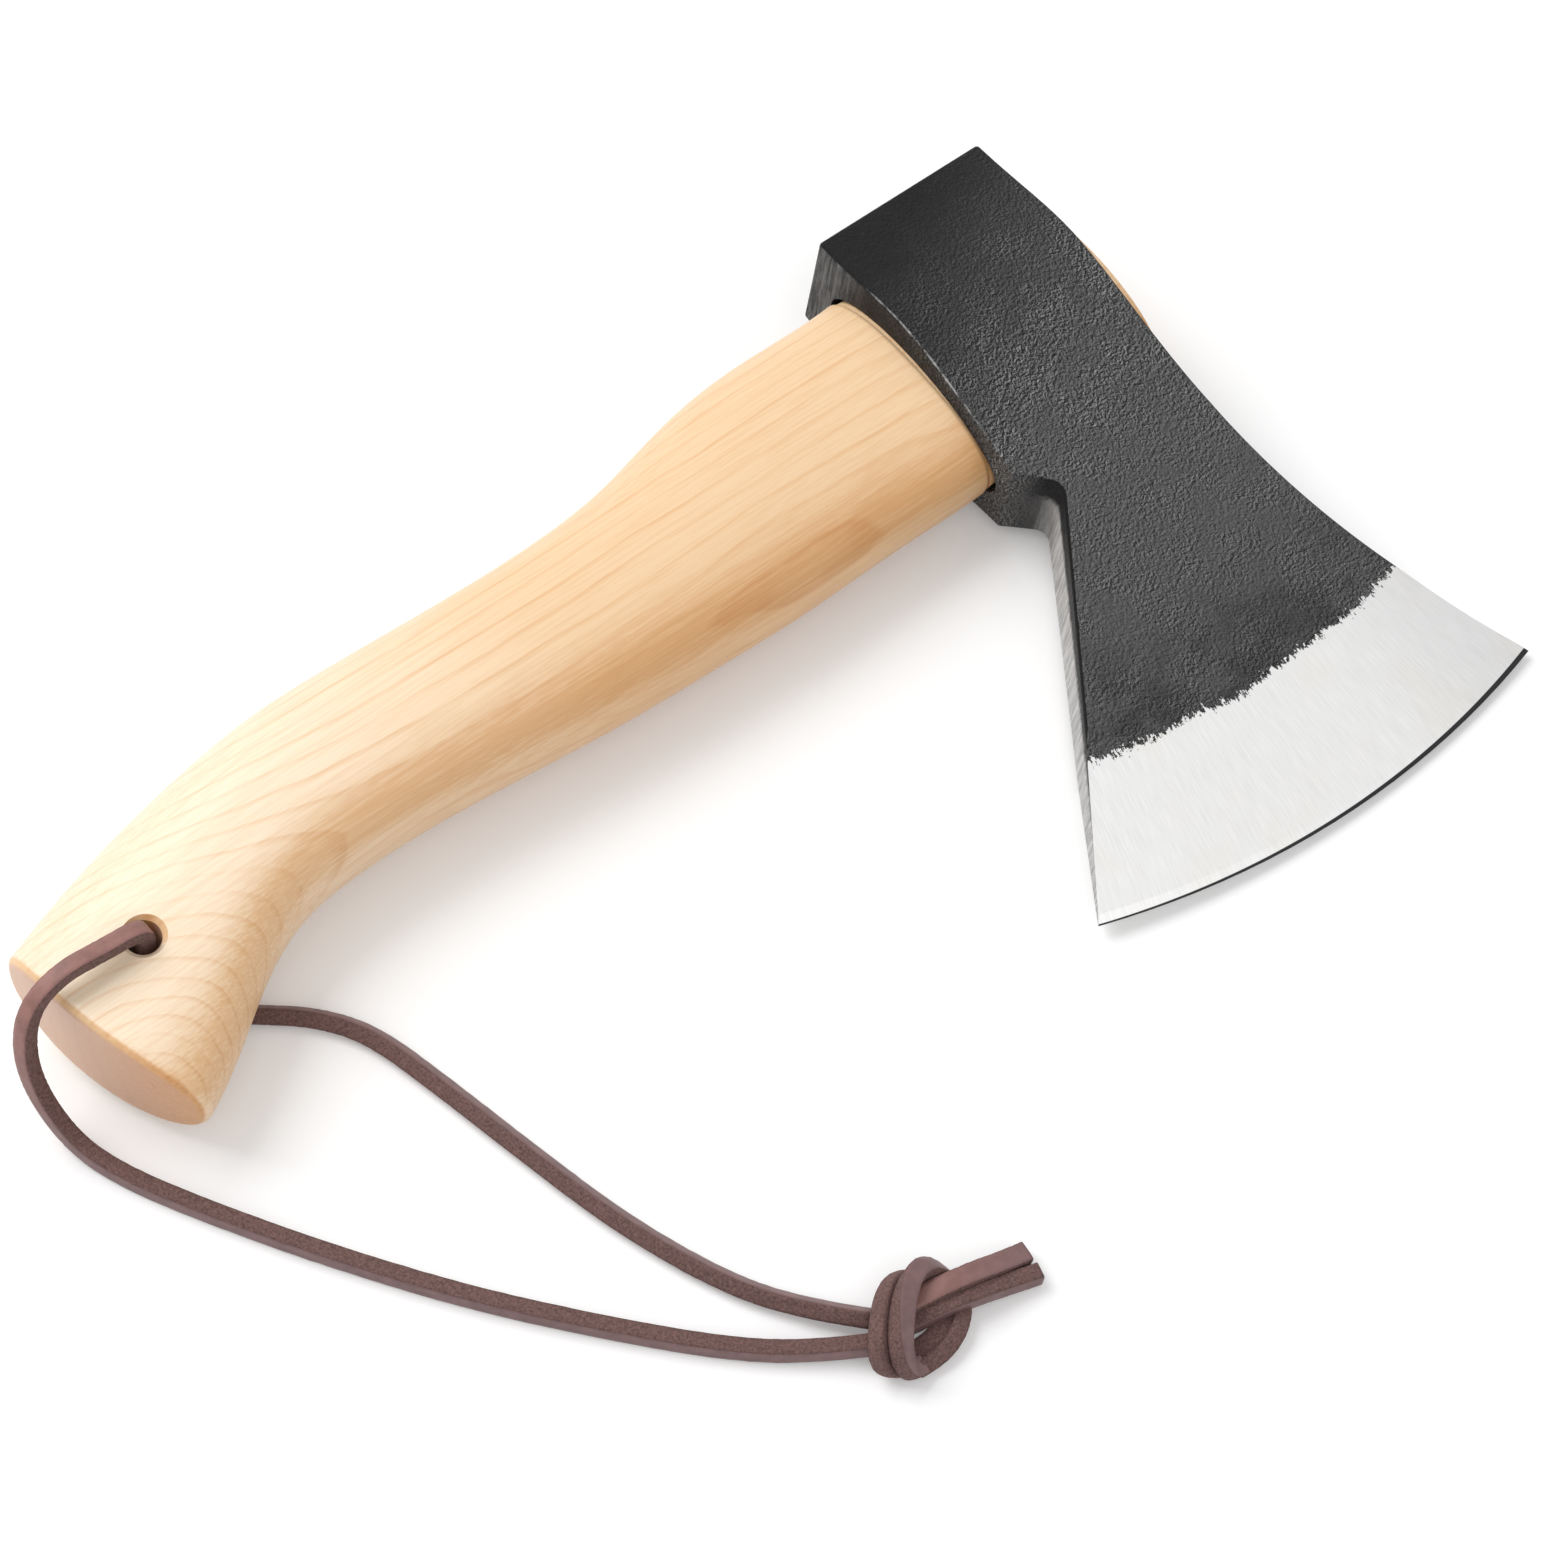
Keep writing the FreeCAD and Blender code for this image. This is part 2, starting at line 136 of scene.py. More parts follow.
def addMix(tree, share, first, second, blend="MIX"):
    node = addNode(tree, "ShaderNodeMix", data_type="RGBA", blend_type=blend)
    for socket, value in ((node.inputs[0], share), (node.inputs[6], first), (node.inputs[7], second)):
        if isinstance(value, bpy.types.NodeSocket):
            tree.links.new(value, socket)
        else:
            socket.default_value = value
    return node.outputs[2]


def addNoise(tree, place, size, detail=3.0, roughness=0.55, stretch=(1.0, 1.0, 1.0), distortion=0.0):
    # size is roughly how far apart the bumps are, in the units of place
    scaled = addNode(tree, "ShaderNodeMapping", {"Vector": place, "Scale": [s / size for s in stretch]})
    found = addNode(tree, "ShaderNodeTexNoise", {"Vector": scaled.outputs[0], "Scale": 1.0,
                                                 "Detail": detail, "Roughness": roughness,
                                                 "Distortion": distortion})
    return found.outputs["Fac"]


def newMaterial(name):
    material = bpy.data.materials.new(name)
    material.use_nodes = True
    tree = material.node_tree
    return material, tree, tree.nodes["Principled BSDF"]


def hatchetPlace(tree):
    # millimetres on the hatchet's own axes, from the middle of the head's underside at the poll
    coordinates = addNode(tree, "ShaderNodeTexCoord")
    mapping = addNode(tree, "ShaderNodeMapping", {
        "Vector": coordinates.outputs["Object"], "Location": hatchetOrigin,
        "Rotation": hatchetTurn.to_euler(), "Scale": (0.001, 0.001, 0.001)}, vector_type="TEXTURE")
    return mapping.outputs[0]


def facing(tree, direction):
    # 1 where the surface faces the direction, and -1 where it faces away
    normal = addNode(tree, "ShaderNodeNewGeometry").outputs["Normal"]
    dot = addNode(tree, "ShaderNodeVectorMath", {0: normal, 1: direction}, operation="DOT_PRODUCT")
    return dot.outputs["Value"]


def newGroup(name, inputs, outputs):
    group = bpy.data.node_groups.new(name, "ShaderNodeTree")
    for label, kind, value in inputs:
        socket = group.interface.new_socket(label, in_out="INPUT", socket_type="NodeSocket" + kind)
        if value is not None:
            socket.default_value = value
    for label, kind in outputs:
        group.interface.new_socket(label, in_out="OUTPUT", socket_type="NodeSocket" + kind)
    return group, group.nodes.new("NodeGroupInput"), group.nodes.new("NodeGroupOutput")


def addGroup(tree, group, sockets):
    return addNode(tree, "ShaderNodeGroup", sockets, node_tree=group)


def addBump(tree, height, distance, strength=1.0):
    sockets = {"Height": height, "Distance": distance, "Strength": strength}
    return addNode(tree, "ShaderNodeBump", sockets).outputs[0]


forgedFinish = dict(
    black=(0.004, 0.004, 0.0045, 1), worn=(0.099, 0.099, 0.099, 1), bare=(0.46, 0.46, 0.46, 1),
    bright=(0.775, 0.775, 0.77, 1), dull=(0.60, 0.60, 0.60, 1), warm=(1.0, 0.985, 0.965, 1),
    underPoll=(0.17, 0.17, 0.17, 1), beardReflectionLow=(0.42, 0.42, 0.42, 1), beardReflectionHigh=(0.80, 0.80, 0.80, 1),
    edgeShadeColour=(0.02, 0.02, 0.022, 1),
    edgeCentre=(14.9, 35.5), bevelStart=149.5, edge=177.5,
    pebble=0.62, pebbleDepth=0.0008, pebbleShading=8.0, litFrom=(-0.11, 0.21, 0.0), specular=0.22,
)


def forgedMaterial(f):
    material, tree, shader = newMaterial("forgedSteel")
    place = hatchetPlace(tree)
    axes = addNode(tree, "ShaderNodeSeparateXYZ", {"Vector": place})
    across = addMath(tree, "SUBTRACT", axes.outputs["X"], f["edgeCentre"][0])
    along = addMath(tree, "SUBTRACT", axes.outputs["Y"], f["edgeCentre"][1])
    radius = addMath(tree, "SQRT", addMath(tree, "ADD", addMath(tree, "MULTIPLY", across, across),
                                           addMath(tree, "MULTIPLY", along, along)))
    # the grinding marks run out to the edge, and fray the border of the paint
    marksPlace = addNode(tree, "ShaderNodeCombineXYZ", {
        "X": addMath(tree, "MULTIPLY", addMath(tree, "ARCTAN2", across, along), 150.0), "Y": radius}).outputs[0]
    marks = addNoise(tree, marksPlace, 0.30, detail=3.0, stretch=(1.0, 0.05, 1.0))
    waver = addNoise(tree, place, 16.0, detail=2.0)
    ragged = addNoise(tree, place, 1.3, detail=3.0, roughness=0.75)
    strokes = addNoise(tree, marksPlace, 0.45, detail=2.0, roughness=0.7, stretch=(1.0, 0.3, 1.0))
    frayed = radius
    for swing, reach in ((waver, 3.0), (ragged, 4.0), (strokes, 5.0)):
        frayed = addMath(tree, "MULTIPLY_ADD", addMath(tree, "SUBTRACT", swing, 0.5), reach, frayed)
    bit = addRange(tree, frayed, f["bevelStart"] - 0.1, f["bevelStart"] + 0.15)
    # paint, black at the poll and rubbed grey towards the bit, darker again beside the grinding
    slant = addMath(tree, "MULTIPLY_ADD", axes.outputs["X"], 0.5,
                    addMath(tree, "MULTIPLY", axes.outputs["Y"], -1.0))
    cloud = addNoise(tree, place, 16.0, detail=4.0, roughness=0.6)
    rubbed = addRange(tree, addMath(tree, "MULTIPLY_ADD", cloud, 16.0, slant), 18.0, 72.0)
    beside = addRange(tree, radius, f["bevelStart"] - 26.0, f["bevelStart"] - 4.0)
    patches = addRange(tree, addNoise(tree, place, 11.0, detail=5.0, roughness=0.65), 0.40, 0.60)
    scorched = addMath(tree, "MULTIPLY", beside, addMath(tree, "MULTIPLY_ADD", patches, 0.4, 0.12))
    wear = addMath(tree, "MULTIPLY", rubbed, addMath(tree, "SUBTRACT", 1.0, scorched))
    pebbles = addNoise(tree, place, f["pebble"], detail=4.0, roughness=0.65, distortion=0.6)
    fine = addNoise(tree, place, 0.4, detail=3.0, roughness=0.7)
    swells = addNoise(tree, place, 7.0, detail=2.0)
    # painted light and shade on each pebble, lighter on the side towards the light and darker on the other,
    # strongest round the eye
    shifted = addNode(tree, "ShaderNodeVectorMath", {0: place, 1: f["litFrom"]}, operation="ADD").outputs[0]
    pebblesTowardLight = addNoise(tree, shifted, f["pebble"], detail=4.0, roughness=0.65, distortion=0.6)
    roundEye = addMath(tree, "MULTIPLY", addRange(tree, axes.outputs["Y"], -6.0, -26.0),
                       addRange(tree, axes.outputs["Y"], -78.0, -40.0))
    uneven = addRange(tree, addNoise(tree, place, 8.0, detail=3.0, roughness=0.6), 0.35, 0.65, 0.45, 1.25)
    pebbleShadingStrength = addMath(tree, "MULTIPLY", addMath(tree, "MULTIPLY_ADD", roundEye, 0.9 * f["pebbleShading"], f["pebbleShading"]),
                        uneven)
    pebbleShading = addMath(tree, "MULTIPLY", addMath(tree, "SUBTRACT", pebbles, pebblesTowardLight), pebbleShadingStrength)
    # the painted pebble light and shade, multiplied by a random tone
    pebbleShadingAndTone = addMath(tree, "MULTIPLY", addMath(tree, "MAXIMUM", addMath(tree, "ADD", 1.0, pebbleShading), 0.1),
                      addRange(tree, fine, 0.3, 0.7, 0.75, 1.25, smooth=False))
    paint = addMix(tree, 1.0, addMix(tree, wear, f["black"], f["worn"]), pebbleShadingAndTone, blend="MULTIPLY")
    # the rim facing the crown is kept black as painted shade, the eye's rim is rubbed bright, and the beard face
    # gets a painted reflection of the table
    level = addMath(tree, "ABSOLUTE", facing(tree, hatchetUp))
    downHandle = facing(tree, -hatchetAlong)
    paint = addMix(tree, addRange(tree, downHandle, -0.2, -0.6), paint, f["black"])
    rim = addMath(tree, "MULTIPLY", addRange(tree, downHandle, 0.3, 0.45), addRange(tree, level, 0.45, 0.65))
    chipped = addRange(tree, addNoise(tree, place, 4.0, detail=6.0, roughness=0.8), 0.42, 0.62)
    eyeSide = addMath(tree, "MULTIPLY", addRange(tree, axes.outputs["Y"], -12.0, -20.0),
                      addRange(tree, axes.outputs["Y"], -54.0, -50.0))
    rimBare = addMath(tree, "MULTIPLY", addMath(tree, "MULTIPLY", rim, eyeSide), chipped)
    paint = addMix(tree, rimBare, paint, f["bare"])
    filedAndReflectionStreakNoise = addNoise(tree, place, 0.9, detail=4.0, roughness=0.65, stretch=(1.0, 1.0, 0.1))
    filedAndReflectionStreaks = addRange(tree, filedAndReflectionStreakNoise, 0.3, 0.7)
    underneath = addRange(tree, downHandle, 0.80, 0.93)
    low = addMath(tree, "MULTIPLY_ADD", ragged, -3.0, axes.outputs["Z"])
    # painted reflection of the white table on the beard face, with streaks
    beardReflection = addMath(tree, "MULTIPLY", addMath(tree, "MULTIPLY", addRange(tree, downHandle, 0.66, 0.76),
                                                  addRange(tree, axes.outputs["Y"], -58.5, -68.0)),
                        addRange(tree, low, 2.6, 0.2))
    pollSide = addMath(tree, "MULTIPLY", underneath, addRange(tree, axes.outputs["Y"], -16.0, -4.0))
    paint = addMix(tree, addMath(tree, "MULTIPLY", pollSide, filedAndReflectionStreaks), paint, f["underPoll"])
    # painted shade along the rolled edge at the top of the beard face
    rolledEdgeShade = addMath(tree, "MULTIPLY", addRange(tree, downHandle, 0.12, 0.3),
                     addRange(tree, axes.outputs["Y"], -58.0, -62.0))
    paint = addMix(tree, rolledEdgeShade, paint, f["black"])
    paint = addMix(tree, beardReflection, paint, addMix(tree, filedAndReflectionStreaks, f["beardReflectionLow"], f["beardReflectionHigh"]))
    # bare steel, duller at the toe, which ends in a line of painted shade along the edge, wider at the toe
    steel = addMix(tree, addRange(tree, axes.outputs["X"], 18.0, 56.0, 0.0, 0.55), f["bright"], f["dull"])
    warmth = addRange(tree, addNoise(tree, place, 13.0, detail=2.0), 0.45, 0.7)
    tint = addMix(tree, warmth, (1, 1, 1, 1), f["warm"])
    steel = addMix(tree, 1.0, steel, tint, blend="MULTIPLY")
    steel = addMix(tree, 1.0, steel, addRange(tree, marks, 0.25, 0.75, 0.93, 1.05, smooth=False), blend="MULTIPLY")
    lineStart = addRange(tree, axes.outputs["X"], -44.0, 55.0, f["edge"] - 0.25, f["edge"] - 0.95, smooth=False)
    beyond = addMath(tree, "SUBTRACT", radius, lineStart)
    edgeShade = addRange(tree, beyond, -0.06, 0.06)
    steel = addMix(tree, edgeShade, steel, f["edgeShadeColour"])
    bit = addMath(tree, "MULTIPLY", bit, addRange(tree, downHandle, 0.5, 0.7, 1.0, 0.0))
    tree.links.new(addMix(tree, bit, paint, steel), shader.inputs["Base Color"])
    ground = addMath(tree, "MULTIPLY", bit, addMath(tree, "SUBTRACT", 1.0, edgeShade))
    tree.links.new(ground, shader.inputs["Metallic"])
    paintGloss = addRange(tree, pebbles, 0.3, 0.7, 0.38, 0.55, smooth=False)
    steelGloss = addRange(tree, marks, 0.3, 0.7, 0.36, 0.42, smooth=False)
    gloss = addNode(tree, "ShaderNodeMix", data_type="FLOAT")
    for socket, value in zip((gloss.inputs[0], gloss.inputs[2], gloss.inputs[3]), (bit, paintGloss, steelGloss)):
        tree.links.new(value, socket)
    tree.links.new(gloss.outputs[0], shader.inputs["Roughness"])
    shader.inputs["Specular IOR Level"].default_value = f["specular"]
    height = addMath(tree, "MULTIPLY_ADD", swells, 1.5, addMath(tree, "MULTIPLY_ADD", fine, 0.25, pebbles))
    scale = addMath(tree, "SUBTRACT", 1.0, bit)
    onPaint = addMath(tree, "MULTIPLY", height, scale)
    tree.links.new(addBump(tree, onPaint, f["pebbleDepth"]), shader.inputs["Normal"])
    return material


ashWood = dict(
    headEnd=(0.86, 0.61, 0.37, 1), buttEnd=(0.955, 0.78, 0.585, 1), lines=(0.83, 0.65, 0.47, 1),
    frontShadeAndTone=(0.84, 0.66, 0.475, 1), endGrain=(0.92, 0.88, 1.1, 1), rim=(0.86, 0.70, 0.52, 1),
    heart=(-195.0, -70.0), reach=35.0, ringWidth=3.0,
)


def growthRingGroup():
    # rings of growth round a heart that meets the surface at the butt and runs level with it beyond
    group, given, made = newGroup("growthRings", [
        ("Place", "Vector", None), ("Heart X", "Float", 0.0), ("Heart Y", "Float", 0.0),
        ("Reach", "Float", 35.0), ("Ring Width", "Float", 3.0)], [("Rings", "Float"), ("Fibres", "Float")])
    place = given.outputs["Place"]
    axes = addNode(group, "ShaderNodeSeparateXYZ", {"Vector": place})
    upHandle = addMath(group, "SUBTRACT", axes.outputs["X"], given.outputs["Heart X"])
    bent = addMath(group, "TANH", addMath(group, "DIVIDE", upHandle, given.outputs["Reach"]))
    below = addMath(group, "MULTIPLY_ADD", bent, given.outputs["Reach"],
                    addMath(group, "MULTIPLY_ADD", axes.outputs["Z"], -0.55, 6.0))
    fromHeart = addMath(group, "SUBTRACT", axes.outputs["Y"], given.outputs["Heart Y"])
    radius = addMath(group, "SQRT", addMath(group, "ADD", addMath(group, "MULTIPLY", fromHeart, fromHeart),
                                            addMath(group, "MULTIPLY", below, below)))
    drift = addNoise(group, place, 24.0, detail=3.0, stretch=(0.4, 1.0, 1.0))
    wander = addMath(group, "MULTIPLY", addMath(group, "SUBTRACT", drift, 0.5), 4.5)
    count = addMath(group, "DIVIDE", addMath(group, "ADD", radius, wander), given.outputs["Ring Width"])
    phase = addMath(group, "FRACT", count)
    rise = addRange(group, phase, 0.66, 0.93)
    fall = addRange(group, phase, 0.93, 1.0, 1.0, 0.0)
    eachRing = addNode(group, "ShaderNodeTexWhiteNoise", noise_dimensions="1D")
    group.links.new(addMath(group, "FLOOR", count), eachRing.inputs["W"])
    strength = addRange(group, eachRing.outputs["Value"], 0.0, 1.0, 0.45, 1.0, smooth=False)
    patchy = addNoise(group, place, 9.0, detail=3.0, stretch=(0.3, 1.0, 1.0))
    fading = addRange(group, patchy, 0.35, 0.6, 0.55, 1.0)
    rings = addMath(group, "MULTIPLY", addMath(group, "MULTIPLY", rise, fall),
                    addMath(group, "MULTIPLY", strength, fading))
    group.links.new(rings, made.inputs["Rings"])
    fibres = addNoise(group, place, 0.55, detail=4.0, roughness=0.7, stretch=(0.03, 1.0, 1.0))
    group.links.new(fibres, made.inputs["Fibres"])
    return group


growthRings = growthRingGroup()


def ashMaterial(w):
    material, tree, shader = newMaterial("ash")
    place = hatchetPlace(tree)
    axes = addNode(tree, "ShaderNodeSeparateXYZ", {"Vector": place})
    grain = addGroup(tree, growthRings, {"Place": place, "Heart X": w["heart"][0], "Heart Y": w["heart"][1],
                                         "Reach": w["reach"], "Ring Width": w["ringWidth"]})
    drift = addMath(tree, "MULTIPLY_ADD", addNoise(tree, place, 40.0, detail=2.0), 50.0, axes.outputs["X"])
    wood = addMix(tree, addRange(tree, drift, -50.0, -130.0), w["headEnd"], w["buttEnd"])
    endwise = facing(tree, -hatchetAlong)
    fibres = addRange(tree, grain.outputs["Fibres"], 0.34, 0.72, -0.05, 0.34)
    streaks = addMath(tree, "ADD", addMath(tree, "MULTIPLY", grain.outputs["Rings"], 0.5), fibres, clamp=True)
    streaks = addMath(tree, "MULTIPLY", streaks, addRange(tree, endwise, 0.6, 0.9, 1.0, 0.35))
    wood = addMix(tree, streaks, wood, addMix(tree, 1.0, wood, w["lines"], blend="MULTIPLY"))
    # painted shade on the side turned to the front, which curves away from the key light, with a warmer wood tone;
    # lighter again where the side faces straight to the front, a painted bounce from the table
    towardsFront = facing(tree, -hatchetBack)
    front = addMath(tree, "MULTIPLY", addRange(tree, towardsFront, 0.06, 0.6),
                    addRange(tree, towardsFront, 0.75, 1.0, 1.0, 0.5))
    front = addMath(tree, "MULTIPLY", front, addRange(tree, grain.outputs["Fibres"], 0.3, 0.6, 0.8, 1.15))
    wood = addMix(tree, front, wood, addMix(tree, 1.0, wood, w["frontShadeAndTone"], blend="MULTIPLY"))
    for low, high, colour in ((0.3, 0.6, w["rim"]), (0.8, 0.95, w["endGrain"])):
        tinted = addMix(tree, 1.0, wood, colour, blend="MULTIPLY")
        wood = addMix(tree, addRange(tree, endwise, low, high), wood, tinted)
    tree.links.new(wood, shader.inputs["Base Color"])
    shader.inputs["Roughness"].default_value = 0.42
    shader.inputs["Coat Weight"].default_value = 0.15
    shader.inputs["Coat Roughness"].default_value = 0.25
    tree.links.new(addBump(tree, grain.outputs["Fibres"], 0.00004, 0.6), shader.inputs["Normal"])
    return material


wedges = dict(
    wood=(0.70, 0.42, 0.22, 1), woodLines=(0.46, 0.25, 0.12, 1),
    steel=(0.30, 0.30, 0.31, 1), rust=(0.12, 0.10, 0.09, 1),
)


def wedgeMaterial(w):
    # harder, browner wood than the handle, with its fibres across the eye
    material, tree, shader = newMaterial("wedgeWood")
    fibres = addNoise(tree, hatchetPlace(tree), 0.7, detail=5.0, roughness=0.7, stretch=(0.08, 0.3, 1.0))
    wood = addMix(tree, addRange(tree, fibres, 0.35, 0.7), w["wood"], w["woodLines"])
    tree.links.new(wood, shader.inputs["Base Color"])
    shader.inputs["Roughness"].default_value = 0.6
    tree.links.new(addBump(tree, fibres, 0.00008), shader.inputs["Normal"])
    return material


def ringMaterial(w):
    # rolled tube with a dull skin
    material, tree, shader = newMaterial("ringSteel")
    mottle = addNoise(tree, hatchetPlace(tree), 1.6, detail=5.0, roughness=0.7)
    skin = addMix(tree, addRange(tree, mottle, 0.4, 0.7), w["steel"], w["rust"])
    tree.links.new(skin, shader.inputs["Base Color"])
    tree.links.new(addRange(tree, mottle, 0.3, 0.7, 0.35, 0.6), shader.inputs["Roughness"])
    shader.inputs["Metallic"].default_value = 1.0
    tree.links.new(addBump(tree, mottle, 0.00006), shader.inputs["Normal"])
    return material


thong = dict(
    size=0.0030, corner=0.0003, sides=24, steps=14, onTable=0.00005,
    leavesAt=0.0149,              # from the bore's middle to where the thong leaves its mouth
    leans=(0.0003, -0.0001, 0.0),
    grain=(0.184, 0.103, 0.100, 1), bare=(0.262, 0.125, 0.108, 1), rough=(0.150, 0.082, 0.074, 1),
)
overRoute = [(-7.6, -1.6, 0.6), (-15.4, -1.2, 1.4), (-22.6, -1.6, -2.0)]
frontRoute = [(-25.8, -3.0, 19.0), (-26.4, -6.6, 9.8), (-25.2, -13.8, 2.35), (-22.4, -23.0, 1.55),
              (-16.6, -35.0, 1.55), (-6.2, -53.7, 1.55), (7.6, -75.6, 1.55), (22.8, -95.6, 1.55),
              (37.0, -112.2, 1.55), (47.3, -120.8, 2.05), (54.3, -125.6, 3.15)]
rearRoute = [(0.1, 0.9, 1.55), (5.6, -5.6, 1.55), (12.4, -12.0, 1.55), (20.0, -18.6, 1.55),
             (25.8, -27.6, 1.55), (29.0, -43.4, 1.55), (32.4, -62.4, 1.55), (36.3, -82.2, 1.55),
             (42.6, -101.0, 1.55), (49.7, -113.2, 1.95), (56.8, -121.9, 3.15)]
outerTurn = [(57.0, -132.2, 1.65), (60.6, -132.8, 1.7), (64.8, -132.2, 1.8), (68.6, -130.2, 1.9),
             (70.8, -127.0, 2.0), (70.8, -123.8, 3.2), (69.2, -121.6, 5.4), (66.2, -121.1, 7.4),
             (62.4, -123.0, 8.6), (58.7, -126.2, 8.9), (55.9, -129.2, 8.2), (54.9, -131.4, 5.6),
             (55.8, -132.6, 2.4), (57.8, -132.5, 1.9)]
innerTurn = [(57.6, -130.0, 1.6), (61.0, -130.6, 1.6), (64.6, -129.8, 1.6), (67.2, -127.6, 1.6),
             (68.2, -124.4, 1.8), (67.2, -121.4, 2.8), (64.2, -119.6, 4.6), (60.0, -121.2, 6.4),
             (56.0, -124.5, 7.4), (53.4, -127.2, 6.8), (52.5, -129.0, 4.4), (53.8, -130.2, 2.0),
             (56.5, -131.4, 1.8)]
upperTail = [(61.2, -124.0, 4.8), (67.0, -125.2, 5.4), (73.9, -126.5, 4.6), (79.4, -127.6, 3.0),
             (84.2, -128.4, 2.0)]
lowerTail = [(60.0, -126.4, 3.8), (66.0, -127.7, 4.2), (72.5, -129.3, 3.6), (78.4, -130.7, 2.2),
             (83.8, -132.3, 1.55)]


def fromBore(route, height=0.0):
    return [Vector((boreMiddle.x + x / 1000, boreMiddle.y + y / 1000, height + z / 1000)) for x, y, z in route]


def smoothLine(points, steps):
    # the points that a smooth line through the route has
    data = bpy.data.curves.new("route", "CURVE")
    data.dimensions = "3D"
    data.resolution_u = steps
    spline = data.splines.new("NURBS")
    spline.points.add(len(points) - 1)
    for point, place in zip(spline.points, points):
        point.co = (*place, 1.0)
    spline.order_u = 3
    spline.use_endpoint_u = True
    route = bpy.data.objects.new("route", data)
    mesh = bpy.data.meshes.new_from_object(route)
    line = [vertex.co.copy() for vertex in mesh.vertices]
    bpy.data.objects.remove(route)
    bpy.data.meshes.remove(mesh)
    return line


def squareRing(bm, t):
    # a square with rounded corners, one side flat for the smooth face of the leather
    ring = bmesh.ops.create_circle(bm, cap_ends=True, radius=1.0, segments=t["sides"])["verts"]
    inner = t["size"] / 2 - t["corner"]
    for vertex in ring:
        angle = math.atan2(vertex.co.y, vertex.co.x)
        flat = max(abs(math.cos(angle)), abs(math.sin(angle)))
        edge = Vector((math.cos(angle), math.sin(angle), 0.0)) / flat * (t["size"] / 2)
        held = Vector([max(-inner, min(inner, value)) for value in edge[:2]] + [0.0])
        vertex.co = held + (edge - held).normalized() * t["corner"] if (edge - held).length else edge
    return ring


def makeLace(name, line, grainSide, t, begins=0.0, twist=0.0, wide=1.0, fray=0.00006):
    # extrudes the square along the line, turning it with the line's bends and by the twist
    bm = bmesh.new()
    coords = bm.verts.layers.float_vector.new("laceCoords")
    ring = squareRing(bm, t)
    flat = [vertex.co.copy() for vertex in ring]
    edges = [edge for edge in bm.edges if len(edge.link_faces) == 1]
    verts = ring
    travelled = 0.0
    normal = Vector(grainSide)
    before = (line[1] - line[0]).normalized()
    for index, here in enumerate(line):
        after = line[min(index + 1, len(line) - 1)] - line[max(index - 1, 0)]
        tangent = after.normalized()
        normal = before.rotation_difference(tangent) @ normal
        normal = (normal - tangent * normal.dot(tangent)).normalized()
        before = tangent
        grain = Matrix.Rotation(twist * index / (len(line) - 1), 3, tangent) @ normal
        side = grain.cross(tangent)
        if index:
            travelled += (here - line[index - 1]).length
            made = bmesh.ops.extrude_edge_only(bm, edges=edges)["geom"]
            newVerts = [item for item in made if isinstance(item, bmesh.types.BMVert)]
            newEdges = [item for item in made if isinstance(item, bmesh.types.BMEdge)]
            edges = [edge for edge in newEdges if all(vertex in newVerts for vertex in edge.verts)]
            verts = newVerts
        for vertex, corner in zip(verts, flat):
            rough = 1.0 + fray / t["size"] * 2 * noise.noise(Vector((travelled, corner.x, corner.y)) * 1400)
            vertex.co = here + (side * corner.x * wide + grain * corner.y) * rough
            vertex.co.z = max(vertex.co.z, t["onTable"])
            vertex[coords] = Vector((begins + travelled, corner.x, corner.y))
    bmesh.ops.edgeloop_fill(bm, edges=edges)
    bmesh.ops.recalc_face_normals(bm, faces=bm.faces)
    for face in bm.faces:
        face.smooth = True
    mesh = bpy.data.meshes.new(name)
    bm.to_mesh(mesh)
    bm.free()
    piece = bpy.data.objects.new(name, mesh)
    scene.collection.objects.link(piece)
    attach(piece, "root")
    return piece


def leatherMaterial(t):
    material, tree, shader = newMaterial("leather")
    coordinates = addNode(tree, "ShaderNodeTexCoord")
    place = addNode(tree, "ShaderNodeMapping", {"Vector": coordinates.outputs["Object"],
                                                "Scale": (1000.0, 1000.0, 1000.0)}).outputs[0]
    lace = addNode(tree, "ShaderNodeAttribute", attribute_name="laceCoords")
    across = addNode(tree, "ShaderNodeSeparateXYZ", {"Vector": lace.outputs["Vector"]})
    smoothFace = addRange(tree, across.outputs["Z"], t["size"] * 0.44, t["size"] * 0.49)
    fibres = addNoise(tree, place, 0.45, detail=4.0, roughness=0.7)
    fleck = addRange(tree, fibres, 0.35, 0.68, 0.55, 1.5, smooth=False)
    rough = addMix(tree, 1.0, t["rough"], fleck, blend="MULTIPLY")
    clouded = addNoise(tree, place, 3.0, detail=3.0)
    redder = addMath(tree, "MULTIPLY_ADD", clouded, 0.02, across.outputs["X"])
    grain = addMix(tree, addRange(tree, redder, 0.052, 0.080), t["bare"], t["grain"])
    grain = addMix(tree, 1.0, grain, addRange(tree, clouded, 0.3, 0.7, 0.85, 1.15), blend="MULTIPLY")
    tree.links.new(addMix(tree, smoothFace, rough, grain), shader.inputs["Base Color"])
    gloss = addNode(tree, "ShaderNodeMix", {0: smoothFace}, data_type="FLOAT")
    gloss.inputs[2].default_value = 0.9
    gloss.inputs[3].default_value = 0.5
    tree.links.new(gloss.outputs[0], shader.inputs["Roughness"])
    depth = addMath(tree, "MULTIPLY", fibres, addMath(tree, "MULTIPLY_ADD", smoothFace, -0.85, 1.0))
    tree.links.new(addBump(tree, depth, 0.00025, 0.9), shader.inputs["Normal"])
    return material


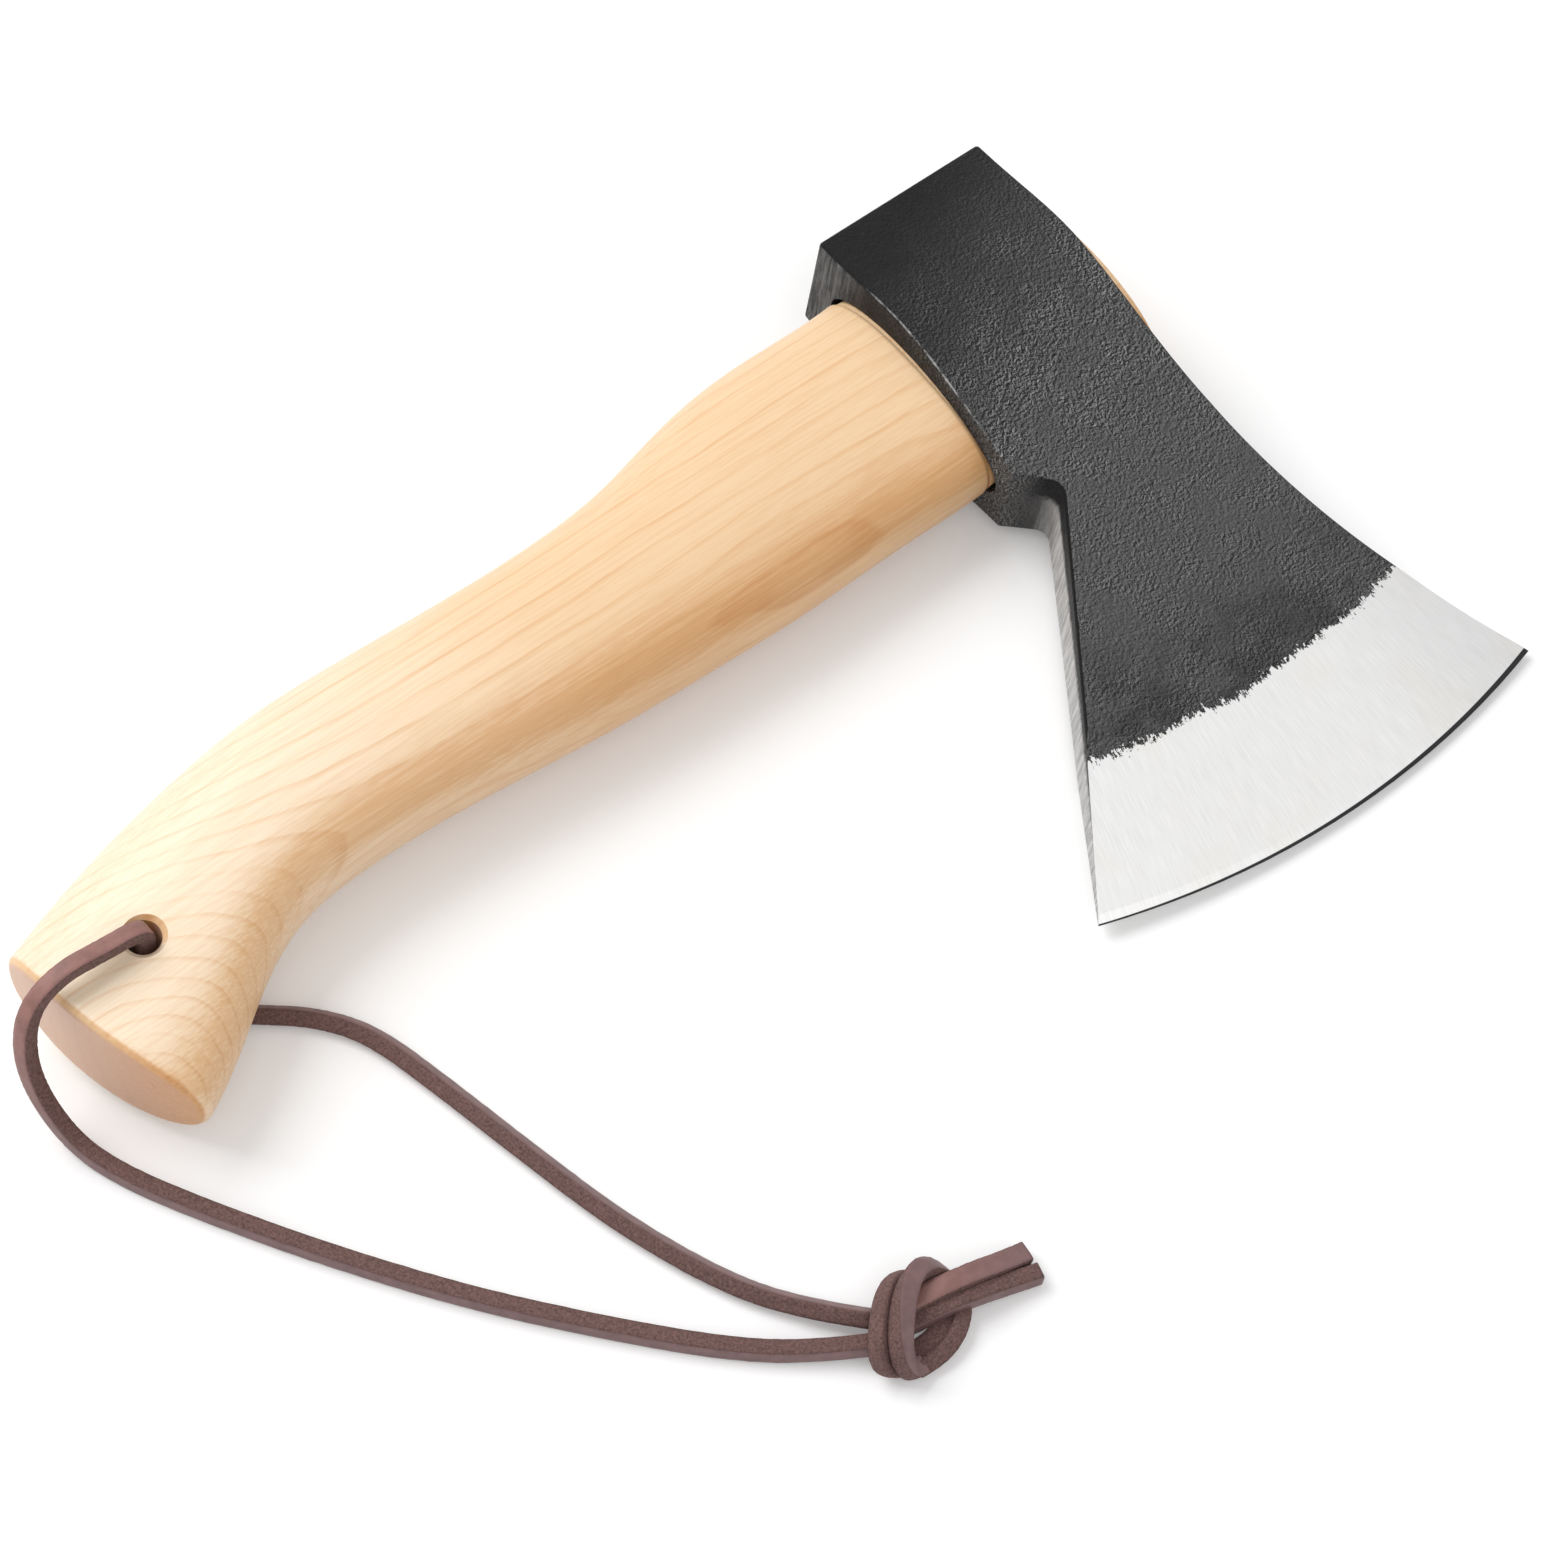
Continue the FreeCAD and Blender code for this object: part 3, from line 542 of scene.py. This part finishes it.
def makeThong(t):
    leather = leatherMaterial(t)
    leaves = boreMiddle + hatchetUp * t["leavesAt"]
    halfway = Vector(t["leans"])
    climb = [boreMiddle, (boreMiddle + leaves) / 2 + halfway, leaves]
    drop = [boreMiddle, boreMiddle * 2 - climb[1]]
    alongHandle = Vector((1.0, 0.0, 0.0))
    courses = {
        "front_strand_lace": dict(points=climb + fromBore(overRoute, leaves.z) + fromBore(frontRoute),
                                  grain=alongHandle),
        "rear_strand_lace": dict(points=drop + fromBore(rearRoute), grain=alongHandle, begins=0.1),
        "knot_outer_turn": dict(points=fromBore(outerTurn), grain=Vector((-0.5, -0.5, -0.7)),
                                begins=0.2, twist=-2.6, wide=1.15),
        "knot_inner_turn": dict(points=fromBore(innerTurn), grain=Vector((0.0, 0.0, -1.0)),
                                begins=0.2, wide=1.15),
        "upper_tail_lace": dict(points=fromBore(upperTail), grain=Vector((0.0, 0.0, 1.0)),
                                begins=0.045, wide=1.25),
        "lower_tail_lace": dict(points=fromBore(lowerTail), grain=Vector((0.0, -1.0, 0.0)), begins=0.2),
    }
    lines = {name: smoothLine(course["points"], t["steps"]) for name, course in courses.items()}
    laces = {}
    for name, course in courses.items():
        del course["points"]
        laces[name] = makeLace(name, lines[name], course.pop("grain"), t, **course)
    for lace in laces.values():
        lace.data.materials.append(leather)
    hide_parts("lanyard_front_strand")
    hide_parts("lanyard_rear_strand")
    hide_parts("lanyard_knot")
    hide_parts("lanyard_tails")


tableTop = dict(size=4.0, colour=(0.86, 0.86, 0.86, 1), lift=0.16)


def makeTable(v):
    bm = bmesh.new()
    bmesh.ops.create_grid(bm, x_segments=1, y_segments=1, size=v["size"] / 2)
    mesh = bpy.data.meshes.new("table")
    bm.to_mesh(mesh)
    bm.free()
    table = bpy.data.objects.new("table", mesh)
    scene.collection.objects.link(table)
    material, tree, shader = newMaterial("whiteTable")
    shader.inputs["Base Color"].default_value = v["colour"]
    shader.inputs["Roughness"].default_value = 1.0
    shader.inputs["Specular IOR Level"].default_value = 0.0
    shader.inputs["Emission Color"].default_value = (1, 1, 1, 1)
    paths = addNode(tree, "ShaderNodeLightPath")
    seen = addMath(tree, "MAXIMUM", paths.outputs["Is Camera Ray"], paths.outputs["Is Glossy Ray"])
    seen = addMath(tree, "MAXIMUM", seen, paths.outputs["Is Transmission Ray"])
    tree.links.new(addMath(tree, "MULTIPLY", seen, v["lift"]), shader.inputs["Emission Strength"])
    mesh.materials.append(material)


roomLight = dict(seen=1.0, lighting=0.55)


def makeWorld(v):
    world = bpy.data.worlds.new("room")
    world.use_nodes = True
    tree = world.node_tree
    paths = addNode(tree, "ShaderNodeLightPath")
    seen = addMath(tree, "MAXIMUM", paths.outputs["Is Camera Ray"], paths.outputs["Is Glossy Ray"])
    seen = addMath(tree, "MAXIMUM", seen, paths.outputs["Is Transmission Ray"])
    strength = addRange(tree, seen, 0.0, 1.0, v["lighting"], v["seen"], smooth=False)
    tree.nodes["Background"].inputs["Color"].default_value = (1, 1, 1, 1)
    tree.links.new(strength, tree.nodes["Background"].inputs["Strength"])
    scene.world = world


def finishNode(name, material):
    node = nodes[name]
    node.data.materials.clear()
    node.data.materials.append(material)


makeCamera(cameraView)
print("camera placed")
makeThong(thong)
print("thong made")
makeTable(tableTop)
makeWorld(roomLight)
makeLights(softboxes)
print("table and lights set")
ash = ashMaterial(ashWood)
steel = forgedMaterial(forgedFinish)
wedgeWood = wedgeMaterial(wedges)
ringSteel = ringMaterial(wedges)
finishNode("axe_head", steel)
finishNode("handle", ash)
finishNode("eye_wedge", wedgeWood)
finishNode("ring_wedge", ringSteel)
print("materials made")
